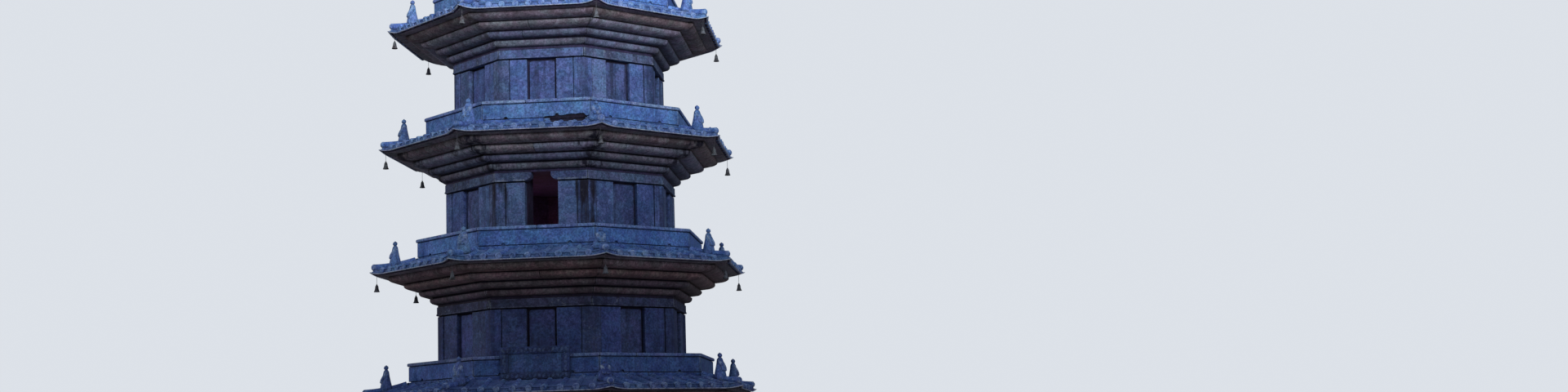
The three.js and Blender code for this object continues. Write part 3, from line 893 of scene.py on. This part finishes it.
def course_profile(storey, course, seat, back):
    """A course's section of (out, height): flat underside, round front, eased shoulder, flat top."""
    outer = (tip_radius(storey) - course["inward"]) * FLAT
    low = tip_height(storey) + course["low"] - droop(storey, seat)
    high = tip_height(storey) + course["high"] - droop(storey, course["inward"])
    across, up = course["round"]
    profile = [(back, low)]
    profile += arc((outer - across, low + up), (across, up), 270, 360, 8)
    profile += arc((outer - COURSE_SHOULDER, high - COURSE_SHOULDER), (COURSE_SHOULDER,) * 2, 0, 90, 4)
    profile.append((back, high))
    return profile


def build_cornice(storey):
    """Four rounded courses of long stones around a masonry core."""
    stones = Stonework(100 + storey)
    base = tip_height(storey)
    core = tip_radius(storey) - LINTEL_IN - 0.02
    seat = LINTEL_IN
    stones.drum([(core, base + LINTEL_TOP), (core, base + COURSES[0]["high"])], finish=CORE_AND_HOLLOW_SHADE, arris=0)
    for course, finish in zip(COURSES, (LOW_CORBEL, LOW_CORBEL, CORBEL, TOP_CORBEL)):
        profile = course_profile(storey, course, seat, (core - 0.04) * FLAT)
        for side in range(SIDES):
            reach = profile[1][0] * SLANT
            cuts = [stones.draw.uniform(-0.5, 0.5) * reach] if stones.draw.random() < 0.35 else []
            stain = max(corner_stain(storey, side), corner_stain(storey, side - 1))
            stones.run(side, profile, cuts, finish=finish, stain=stain)
        # The bed under each course, seen in the gap below it, takes the dark core finish as painted shade.
        bed = tip_radius(storey) - seat - 0.035
        if seat != LINTEL_IN:
            stones.drum([(bed, profile[0][1] - 0.030), (bed, profile[0][1] + 0.010)], finish=CORE_AND_HOLLOW_SHADE, arris=0)
        seat = course["inward"]
    return stones.piece(f"corbel_courses_{storey}", [CORBEL, CORE_AND_HOLLOW_SHADE, LOW_CORBEL, TOP_CORBEL])


# Walls

def corner_stain(storey, corner):
    """How dark a wall is stained beside one of its corners."""
    if (storey, corner % SIDES) in DARK_CORNERS:
        return 1.0
    return random.Random(17 * storey + corner % SIDES).uniform(0.25, 0.62)


def panel_stain(storey, side, sign):
    """How dark the panel to the right or left of a side's middle is stained."""
    return corner_stain(storey, side if sign > 0 else side - 1)


def lay_posts(stones, storey, low, high):
    """A corner post on each corner, with a face on both sides."""
    out = (tip_radius(storey) - POST_IN) * FLAT
    back = out - POST_DEPTH
    edge = out * SLANT - POST_WIDTH
    for side in range(SIDES):
        plan = [(side, edge, out), (side, out * SLANT, out), (side + 1, -edge, out),
                (side + 1, -edge, back), (side, back * SLANT, back), (side, edge, back)]
        rings = []
        for height in (low, high):
            rings.append([on_side(face, along, reach, height) for face, along, reach in plan])
        stones.lay(rings, finish=POST, arris=0.006, stain=corner_stain(storey, side))


def slab_outline(width, low, high, corner):
    """An upright slab's outline with round top corners."""
    half = width / 2
    outline = [(-half, low), (half, low)]
    outline += arc((half - corner, high - corner), (corner, corner), 0, 90, 6)
    outline += arc((corner - half, high - corner), (corner, corner), 90, 180, 6)
    return outline


def lay_blind_bay(stones, storey, side, out, bay, low, high):
    """Two panels, and between them a niche with its sill and inset slab."""
    face = out - BAY_DEPTH
    back = out - CORE_BACK - 0.02
    half = NICHE_WIDTH / 2
    sill = low + NICHE_SILL
    for sign in (-1, 1):
        left, right = span(sign, half, bay / 2 - JOINT)
        stones.block(side, left, right, low, high, face, back, stain=panel_stain(storey, side, sign))
    stones.block(side, JOINT - half, half - JOINT, low, sill, face, back)
    slab = slab_outline(SLAB_WIDTH, sill + 0.004, high - 0.012, SLAB_ROUND)
    stones.lay(upright(side, slab, face - SLAB_BACK, back), finish=SLAB, arris=0.006)


def lay_doorway(stones, storey, side, out, bay, low, high):
    """Jambs through the wall's thickness, and lintel ends with round shoulders."""
    half = DOORWAY_WIDTH / 2
    face = out - BAY_DEPTH
    inner = out - WALL_THICKNESS - 0.002
    profile = lintel_profile(storey)
    behind, foot = profile[0]
    top = profile[-1][1]
    across, up = DOORWAY_SHOULDER
    shoulder = arc((half, foot + DOORWAY_LIP + up), (across, up), 180, 270, 8)
    outline = [(MITRE, top), (half - across, top), *shoulder, (half, foot), (MITRE, foot)]
    band = [*profile[:4], (behind, foot + LINTEL_BAND)]
    for sign in (-1, 1):
        left, right = span(sign, half, bay / 2 - JOINT)
        stones.block(side, left, right, low, high, face, behind, stain=panel_stain(storey, side, sign))
        stones.block(side, left, right, low, top, behind - JOINT, inner, finish=CORE_AND_HOLLOW_SHADE)
        end = [(sign * along, height) for along, height in outline]
        stones.lay(upright(side, end, profile[3][0], behind), finish=LINTEL, arris=0.005)
        stones.lay(swept(side, band, *span(sign, half + 0.004, MITRE)), finish=LINTEL, arris=0.005)


def lintel_profile(storey):
    """The lintel course's section, with a band along its lower edge."""
    out = (tip_radius(storey) - LINTEL_IN) * FLAT
    face = out - LINTEL_BACK
    behind = out - LINTEL_DEPTH
    low = tip_height(storey) + LINTEL_LOW
    high = tip_height(storey) + LINTEL_TOP - 0.001
    return [(behind, low), (out, low), (out, low + LINTEL_BAND - 0.003), (face, low + LINTEL_BAND),
            (face, high), (behind, high)]


def half_turn(sign, radius):
    """The four corners on one half of the tower, from the front to the back."""
    angles = [corner_angle(corner) for corner in range(SIDES // 2)]
    return [(sign * radius * math.sin(angle), -radius * math.cos(angle)) for angle in angles]


def lay_core(stones, storey, out, low, high):
    """The masonry behind the facing: a mass, or two curved walls around the chamber."""
    front = out - CORE_BACK
    if not is_open(storey):
        stones.drum([(front / FLAT, low), (front / FLAT, high)], finish=CORE_AND_HOLLOW_SHADE, arris=0)
        return
    inner = out - WALL_THICKNESS
    edge = DOORWAY_WIDTH / 2 + 0.03
    for sign in (-1, 1):
        plan = [(sign * edge, -front), *half_turn(sign, front / FLAT), (sign * edge, front),
                (sign * edge, inner), *reversed(half_turn(sign, inner / FLAT)), (sign * edge, -inner)]
        stones.lay([[(x, y, height) for x, y in plan] for height in (low, high)], finish=CORE_AND_HOLLOW_SHADE, arris=0)


def build_walls(storey):
    """Posts, panels, niches or doorways, and the lintel course of a storey."""
    stones = Stonework(200 + storey)
    out = (tip_radius(storey) - POST_IN) * FLAT
    low = floor_height(storey)
    high = tip_height(storey) + LINTEL_LOW - 0.010
    bay = 2 * (out * SLANT - POST_WIDTH)
    lay_posts(stones, storey, low, high)
    for side in range(SIDES):
        if is_open(storey) and side % (SIDES // 2) == 0:
            lay_doorway(stones, storey, side, out, bay, low, high)
        else:
            lay_blind_bay(stones, storey, side, out, bay, low, high)
            stones.run(side, lintel_profile(storey), finish=LINTEL)
    lay_core(stones, storey, out, low, tip_height(storey) + LINTEL_TOP - 0.002)
    return stones.piece(f"wall_stones_{storey}", [PANEL, POST, SLAB, LINTEL, CORE_AND_HOLLOW_SHADE])


# Parapets

def curb_face(half, low, high, broken):
    """A panel's outline, with weep holes at its foot, or a ragged edge over a broken curb."""
    outline = [(-MITRE, low)]
    for place in (-WEEP_PLACE * half, WEEP_PLACE * half):
        if broken and place > 0:
            outline += [(along, low + rise) for along, rise in RAGGED_EDGE]
            continue
        outline.append((place - WEEP_WIDTH / 2, low))
        outline += arc((place, low), (WEEP_WIDTH / 2, WEEP_HEIGHT), 150, 30, 4)
        outline.append((place + WEEP_WIDTH / 2, low))
    return [*outline, (MITRE, low), (MITRE, high), (-MITRE, high)]


def bed_section(storey, front):
    """The section of a thin crust on the tiles' bed, from a distance in up to the parapet."""
    top, bottom = [], []
    for step in range(5):
        inward = front + (TILE_END_IN - front) * step / 4
        out = (tip_radius(storey) - inward) * FLAT
        height = tip_height(storey) + pan_height(storey, inward)
        top.append((out, height + 0.006))
        bottom.append((out, height - 0.006))
    return [*top, *reversed(bottom)]


def lay_broken_curb(stones, profile):
    """The front curb of one gallery, with a length of its face broken out and rubble left in the gap, which
    is painted dark partly as shade.
    """
    inner, bottom = profile[0]
    out, top = profile[2]
    draw = random.Random(77)
    stones.lay(swept(0, profile, -MITRE, BROKEN_FROM - 0.02))
    stones.lay(swept(0, profile, BROKEN_TO + 0.015, MITRE))
    behind = [(inner, bottom), (out - BROKEN_DEPTH, bottom), (out - BROKEN_DEPTH + 0.012, top - 0.02),
              (out - BROKEN_DEPTH + 0.030, top), (inner, top)]
    stones.lay(swept(0, behind, BROKEN_FROM - 0.03, BROKEN_TO + 0.03), finish=BROKEN_AND_SHADED)
    for left, right, front in BARE_BED:
        stones.lay(swept(0, bed_section(BROKEN_STOREY - 1, front), left, right), finish=BROKEN_AND_SHADED, arris=0)
    along = BROKEN_FROM - 0.018
    while along < BROKEN_TO:
        along += lay_broken_stone(stones, draw, along, out, bottom, top)
    for _ in range(LUMPS):
        lay_rubble(stones, draw, out, bottom)


def lay_broken_stone(stones, draw, along, out, bottom, top):
    """One jagged stone of the broken face. Gives its width."""
    width = draw.uniform(0.03, 0.07)
    near_end = min(along - BROKEN_FROM, BROKEN_TO - along) < 0.03
    reach = draw.uniform(0.005, 0.03) if near_end else draw.uniform(0.036, 0.060)
    high = top - draw.uniform(0.0, 0.012)
    low = bottom if near_end else high - draw.uniform(0.010, 0.022)
    skew = draw.uniform(-0.008, 0.008)
    back = out - BROKEN_DEPTH
    rings = []
    for at, forward in ((along, 0.0), (along + width, skew)):
        rings.append([on_side(0, at, out - reach + forward, high), on_side(0, at + skew, out - reach, low),
                      on_side(0, at, back - 0.01, low), on_side(0, at, back, high)])
    stones.lay(rings, finish=PARAPET if near_end else BROKEN_AND_SHADED, arris=0.003)
    return width


def lay_rubble(stones, draw, out, bottom):
    """One five-sided lump of stone in the gap."""
    at = draw.uniform(BROKEN_FROM + 0.02, BROKEN_TO - 0.02)
    size = draw.uniform(0.014, 0.028)
    back = out - draw.uniform(0.02, BROKEN_DEPTH - 0.01)
    rings = []
    for level, spread in ((bottom - 0.004, 1.0), (bottom + 1.5 * size, 0.8), (bottom + 2 * size, 0.4)):
        ring = []
        for step in range(5):
            angle = 2 * math.pi * step / 5
            reach = size * spread * draw.uniform(0.75, 1.2)
            ring.append(on_side(0, at + reach * math.cos(angle), back + reach * math.sin(angle), level))
        rings.append(ring)
    stones.lay(rings, finish=COPING, arris=0.002)


def build_parapet(storey):
    """Curb, panels and coping around a gallery."""
    stones = Stonework(300 + storey)
    base = tip_height(storey - 1)
    out = (tip_radius(storey - 1) - PARAPET_IN) * FLAT
    inner = out - PARAPET_THICKNESS * FLAT
    face = out - PANEL_BACK * FLAT
    half = out * SLANT
    foot, head = PANEL_GAPS
    curb_top, coping_low = base + CURB_TOP, base + COPING_LOW
    curb = box_outline(inner, out, base + DECK_HEIGHT, curb_top)
    filling = box_outline(inner + 0.002, face - FILLING_BACK, curb_top, coping_low)
    coping = box_outline(inner, out, coping_low, base + COPING_TOP)
    for side in range(SIDES):
        broken = storey == BROKEN_STOREY and side == 0
        if broken:
            lay_broken_curb(stones, curb)
        else:
            stones.run(side, curb, [stones.draw.uniform(-0.2, 0.2) * half])
        # On the broken side the filling is painted dark, as shade behind the panel's ragged edge.
        stones.run(side, filling, arris=0, finish=BROKEN_AND_SHADED if broken else PARAPET)
        panel = curb_face(half, curb_top + foot, coping_low - head, broken)
        stones.lay(upright(side, panel, face, face - PANEL_THICKNESS))
        cuts = [stones.draw.uniform(-0.4, 0.4) * half] if stones.draw.random() < 0.4 else []
        stones.run(side, coping, cuts, finish=COPING, arris=0.007)
    return stones.piece(f"parapet_stones_{storey}", [PARAPET, COPING, BROKEN_AND_SHADED])


def build_plaque():
    """A framed tablet with a bare panel."""
    stones = Stonework(400)
    face = (TIP_RADIUS - PARAPET_IN) * FLAT
    front = face + PLAQUE_THICKNESS - BOSS_HEIGHT
    low = TIP_HEIGHT + PLAQUE_LOW
    high = low + PLAQUE_HEIGHT
    half = PLAQUE_WIDTH / 2
    stile = (PLAQUE_WIDTH - PLAQUE_PANEL[0]) / 2
    rail = (PLAQUE_HEIGHT - PLAQUE_PANEL[1]) / 2
    sill, head = low + rail, high - rail
    stones.block(0, -half, half, low, sill, front, face, arris=0.006)
    stones.block(0, -half, half, head, high, front, face, arris=0.006)
    for sign in (-1, 1):
        left, right = span(sign, half, half - stile)
        stones.block(0, left, right, sill, head, front, face, arris=0.006)
    for middle in (low + rail / 2, high - rail / 2):
        for index in range(BOSSES_ACROSS):
            along = (2 * index / (BOSSES_ACROSS - 1) - 1) * (half - 0.03)
            lay_boss(stones, along, middle, index, front)
    for index in range(BOSSES_UP):
        middle = sill + (index + 0.5) * (head - sill) / BOSSES_UP
        for sign in (-1, 1):
            lay_boss(stones, sign * (half - stile / 2), middle, index, front)
    stones.block(0, stile - half, half - stile, sill, head, front - PLAQUE_SUNK, face,
                 finish=PLAQUE_FIELD, arris=0)
    return stones.piece("plaque_tablet", [PLAQUE, PLAQUE_FIELD])


def lay_boss(stones, along, middle, index, front):
    """One carved curl of the plaque's frame: a low boss, tipped to one side or the other."""
    lean = 0.009 if index % 2 else -0.009
    outline = []
    for step in range(8):
        angle = 2 * math.pi * (step + 0.5) / 8
        across = BOSS_REACH[0] * math.cos(angle) + lean * math.sin(angle)
        outline.append((along + across, middle + BOSS_REACH[1] * math.sin(angle)))
    stones.lay(upright(0, outline, front + BOSS_HEIGHT, front - 0.004), arris=0.003)


# Base and finial

def build_base():
    """Footing, lower moulding, waist with sunk panels, and cap, laid in stones."""
    tiers = {
        "base_footing": [(FOOTING_RADIUS, 0.0), (FOOTING_RADIUS, FOOTING_TOP)],
        "base_lower_moulding": [(2.090, FOOTING_TOP), (2.090, 0.215), (2.083, 0.230), (2.062, 0.245),
                                (2.030, 0.257), (1.990, 0.268), (1.955, 0.281), (1.926, 0.298),
                                (1.907, 0.315), (1.900, WAIST_LOW)],
        "base_cap": [(1.890, WAIST_HIGH), (1.893, 0.572), (1.905, 0.582), (1.930, 0.591), (1.965, 0.600),
                     (2.000, 0.612), (2.030, 0.626), (2.050, 0.642), (2.062, 0.657), (2.070, 0.672),
                     (2.070, BASE_TOP)],
    }
    back = BASE_BACK * FLAT
    pieces = []
    for number, (node, outline) in enumerate(tiers.items()):
        stones = Stonework(500 + number)
        low, high = outline[0][1], outline[-1][1]
        profile = [(back, low), *((radius * FLAT, height) for radius, height in outline), (back, high)]
        reach = profile[1][0] * SLANT
        cuts = [0.05 * reach] if node == "base_cap" else [-0.33 * reach, 0.36 * reach]
        for side in range(SIDES):
            stones.run(side, profile, cuts)
        stones.drum([(BASE_CORE, low), (BASE_CORE, high - 0.001)], finish=CORE_AND_HOLLOW_SHADE, arris=0)
        pieces.append((stones.piece(node + "_stones", [BASE, CORE_AND_HOLLOW_SHADE]), node))
    return [*pieces, (build_waist(), "base_waist")]


def build_waist():
    """The base's waist: a framed, sunk panel in each side."""
    stones = Stonework(520)
    out = WAIST_RADIUS * FLAT
    back = out - 0.2
    half = out * SLANT - WAIST_MARGIN
    inside = half - JOINT
    low, high = WAIST_LOW + WAIST_EDGE, WAIST_HIGH - WAIST_EDGE
    for side in range(SIDES):
        for sign in (-1, 1):
            left, right = span(sign, half, MITRE)
            stones.block(side, left, right, WAIST_LOW, WAIST_HIGH, out, back)
        stones.block(side, -inside, inside, WAIST_LOW, low, out, back)
        stones.block(side, -inside, inside, high, WAIST_HIGH, out, back)
        stones.block(side, -inside, inside, low, high, out - WAIST_SUNK, back, arris=0)
    stones.drum([(WAIST_CORE, WAIST_LOW), (WAIST_CORE, WAIST_HIGH)], finish=CORE_AND_HOLLOW_SHADE, arris=0)
    return stones.piece("base_waist_stones", [BASE, CORE_AND_HOLLOW_SHADE])


def build_finial():
    """Seat, bowl, rings and jewel on the top roof."""
    base = tip_height(STOREYS)
    seat = Stonework(600)
    seat.drum([(radius, base + height) for radius, height in (
        (0.268, SEAT_LOW), (0.268, 0.742), (0.250, 0.752), (0.222, 0.762), (0.215, 0.772),
        (0.232, 0.800), (0.232, SEAT_TOP))])
    bowl = [(0, SEAT_TOP), (0.150, SEAT_TOP), (0.190, 0.836), (0.222, 0.852), (0.246, 0.880),
            (0.256, 0.912), (0.250, 0.940), (0.232, 0.968), (0.204, 0.992), (0.168, 1.010),
            (0.130, 1.022), (0.096, BOWL_TOP), (0, BOWL_TOP)]
    rings = [(0, BOWL_TOP), (MAST_RADIUS, BOWL_TOP)]
    for ring in range(RINGS):
        middle = BOWL_TOP + (RINGS_TOP - BOWL_TOP) / RINGS * (ring + 0.5)
        reach = RING_REACH - RING_TAPER * ring
        rings += [(MAST_RADIUS, middle - 0.026), (reach - 0.02, middle - 0.022)]
        rings += arc((reach - 0.018, middle), (0.018, 0.020), -75, 75, 6)
        rings += [(reach - 0.02, middle + 0.022), (MAST_RADIUS, middle + 0.026)]
    rings += [(MAST_RADIUS, RINGS_TOP), (0, RINGS_TOP)]
    jewel = [(0, RINGS_TOP), (0.058, RINGS_TOP), (0.092, 1.502), (0.126, 1.524), (0.142, 1.552),
             (0.144, 1.582), (0.132, 1.612), (0.108, 1.640), (0.080, 1.658), (0.063, 1.672),
             (0.072, 1.686), (0.086, 1.704), (0.094, 1.726), (0.094, 1.748), (0.084, 1.772),
             (0.066, 1.796), (0.044, 1.822), (0.024, 1.852), (0.010, 1.880), (0, 1.899)]
    made = [(seat.piece("finial_seat_stone", [TILE]), "finial_seat")]
    for name, outline in (("finial_bowl", bowl), ("finial_rings", rings), ("finial_jewel", jewel)):
        raised = [(radius, base + height) for radius, height in outline]
        made.append((turned(name + "_stone", raised, 48, [TILE]), name))
    return made


def place(piece, slot, *nodes):
    """Sets a finished piece in the tower, in place of the plain solids that it stands for."""
    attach(piece, "root")
    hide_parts(*nodes)


def build_tower():
    end_piece, nose = tile_end(), ridge_nose()
    figure, bell = hip_figure(), wind_bell()
    for storey in range(1, STOREYS + 1):
        walls = [f"storey_{storey}_wall"]
        if is_open(storey):
            walls = [f"storey_{storey}_west_wall", f"storey_{storey}_east_wall"]
        place(build_walls(storey), "wall_granite", *walls)
        place(build_cornice(storey), "cornice_granite", f"storey_{storey}_cornice")
        roof = f"storey_{storey}_roof"
        place(build_eaves(storey), "roof_granite", roof)
        place(build_tiles(storey, end_piece), "roof_granite", roof)
        place(build_hips(storey, nose), "roof_granite", roof)
        figures = at_corners(f"hip_figures_{storey}", storey, FIGURE_IN, FIGURE_FOOT, figure, FIGURE)
        shorten_figure(figures, storey)
        place(figures, "roof_granite", roof)
        bells = at_corners(f"wind_bells_{storey}", storey, BELL_IN, BELL_CROWN, bell, BELL)
        place(bells, "roof_granite", roof)
        if storey > 1:
            place(build_parapet(storey), "wall_granite", f"storey_{storey}_parapet")
    place(build_plaque(), "wall_granite", "parapet_plaque")
    for piece, node in build_base():
        place(piece, "base_granite", node)
    for piece, node in build_finial():
        place(piece, "roof_granite", node)
    for helper in (end_piece, nose, figure, bell):
        bpy.data.objects.remove(helper)


# Stage

def build_stage():
    """A plain pale floor, a pale surround and soft light."""
    reach = 400.0
    mesh = bpy.data.meshes.new("floor")
    mesh.from_pydata([(x, y, 0) for x, y in box_outline(-reach, reach, -reach, reach)], [], [(0, 1, 2, 3)])
    paint = bpy.data.materials.new("floor_paint")
    paint.use_nodes = True
    tree = paint.node_tree
    surface = tree.nodes["Principled BSDF"].inputs
    looked_at = wired(tree, "ShaderNodeLightPath").outputs["Is Camera Ray"]
    tone = blended(tree, looked_at, (0.42, 0.38, 0.36, 1), (0.62, 0.63, 0.64, 1))
    tree.links.new(tone, surface["Base Color"])
    surface["Roughness"].default_value = 0.9
    mesh.materials.append(paint)
    added("floor", mesh)
    build_surround()
    soft_light("sky", (0.20, -0.50, 1.0), 130, 1.05, (0.90, 0.95, 1.0))
    soft_light("left", (-1.0, 0.05, 0.26), 6, 0.6, (1.0, 0.94, 0.86))
    soft_light("horizon", (0.60, -1.0, 0.16), 30, 0.20, (0.97, 0.97, 0.95))
    key, target = Vector((3.4, -9.5, 8.5)), Vector((0.0, 0.0, 9.8))
    wide = near_light("key", "AREA", key, 300, (0.92, 0.96, 1.0), size=5.0, spread=math.radians(60))
    aim(wide, key - target)
    chamber = (-0.32, -0.05, floor_height(3) + 0.17)
    near_light("chamber", "POINT", chamber, 4.4, (1.0, 0.40, 0.44), shadow_soft_size=0.15)


def build_surround():
    """Faint blue light from all around, behind a pale backdrop."""
    world = bpy.data.worlds.new("studio")
    world.use_nodes = True
    bpy.context.scene.world = world
    tree = world.node_tree
    ambient = tree.nodes["Background"]
    ambient.inputs["Color"].default_value = (0.70, 0.82, 1.0, 1)
    ambient.inputs["Strength"].default_value = 0.16
    backdrop = wired(tree, "ShaderNodeBackground", {"Color": (0.80, 0.84, 0.90, 1), "Strength": 0.9})
    seen = wired(tree, "ShaderNodeLightPath").outputs["Is Camera Ray"]
    either = wired(tree, "ShaderNodeMixShader", {0: seen, 1: ambient.outputs[0], 2: backdrop.outputs[0]})
    tree.links.new(either.outputs[0], tree.nodes["World Output"].inputs["Surface"])


def lamp(name, kind, power, colour, **settings):
    """A light of any kind."""
    data = bpy.data.lights.new(name, kind)
    data.energy = power
    data.color = colour
    for setting, value in settings.items():
        setattr(data, setting, value)
    return added(name, data)


def aim(light, towards):
    """Turns a light so that it shines from a direction."""
    light.rotation_mode = "QUATERNION"
    light.rotation_quaternion = Vector(towards).to_track_quat("Z", "Y")


def soft_light(name, towards, spread, strength, colour):
    """A wide, even light from one direction."""
    aim(lamp(name, "SUN", strength, colour, angle=math.radians(spread)), towards)


def near_light(name, kind, location, power, colour, **settings):
    """A lamp at a place, unseen by the camera."""
    light = lamp(name, kind, power, colour, **settings)
    light.location = location
    light.visible_camera = False
    return light


def build_camera():
    """The view from eye height, a little to the right of the front side."""
    data = bpy.data.cameras.new("view")
    data.lens = LENS
    data.sensor_width = 36
    data.clip_end = 1000
    camera = added("view", data)
    turn = Matrix.Rotation(math.radians(EYE_TURN), 4, "Z")
    pitch = Matrix.Rotation(math.pi / 2 + math.radians(EYE_PITCH), 4, "X")
    roll = Matrix.Rotation(math.radians(EYE_ROLL), 4, "Z")
    camera.matrix_world = Matrix.Translation(EYE) @ turn @ pitch @ roll
    bpy.context.scene.camera = camera
    bpy.context.scene.view_settings.view_transform = "Standard"


build_tower()
build_stage()
build_camera()
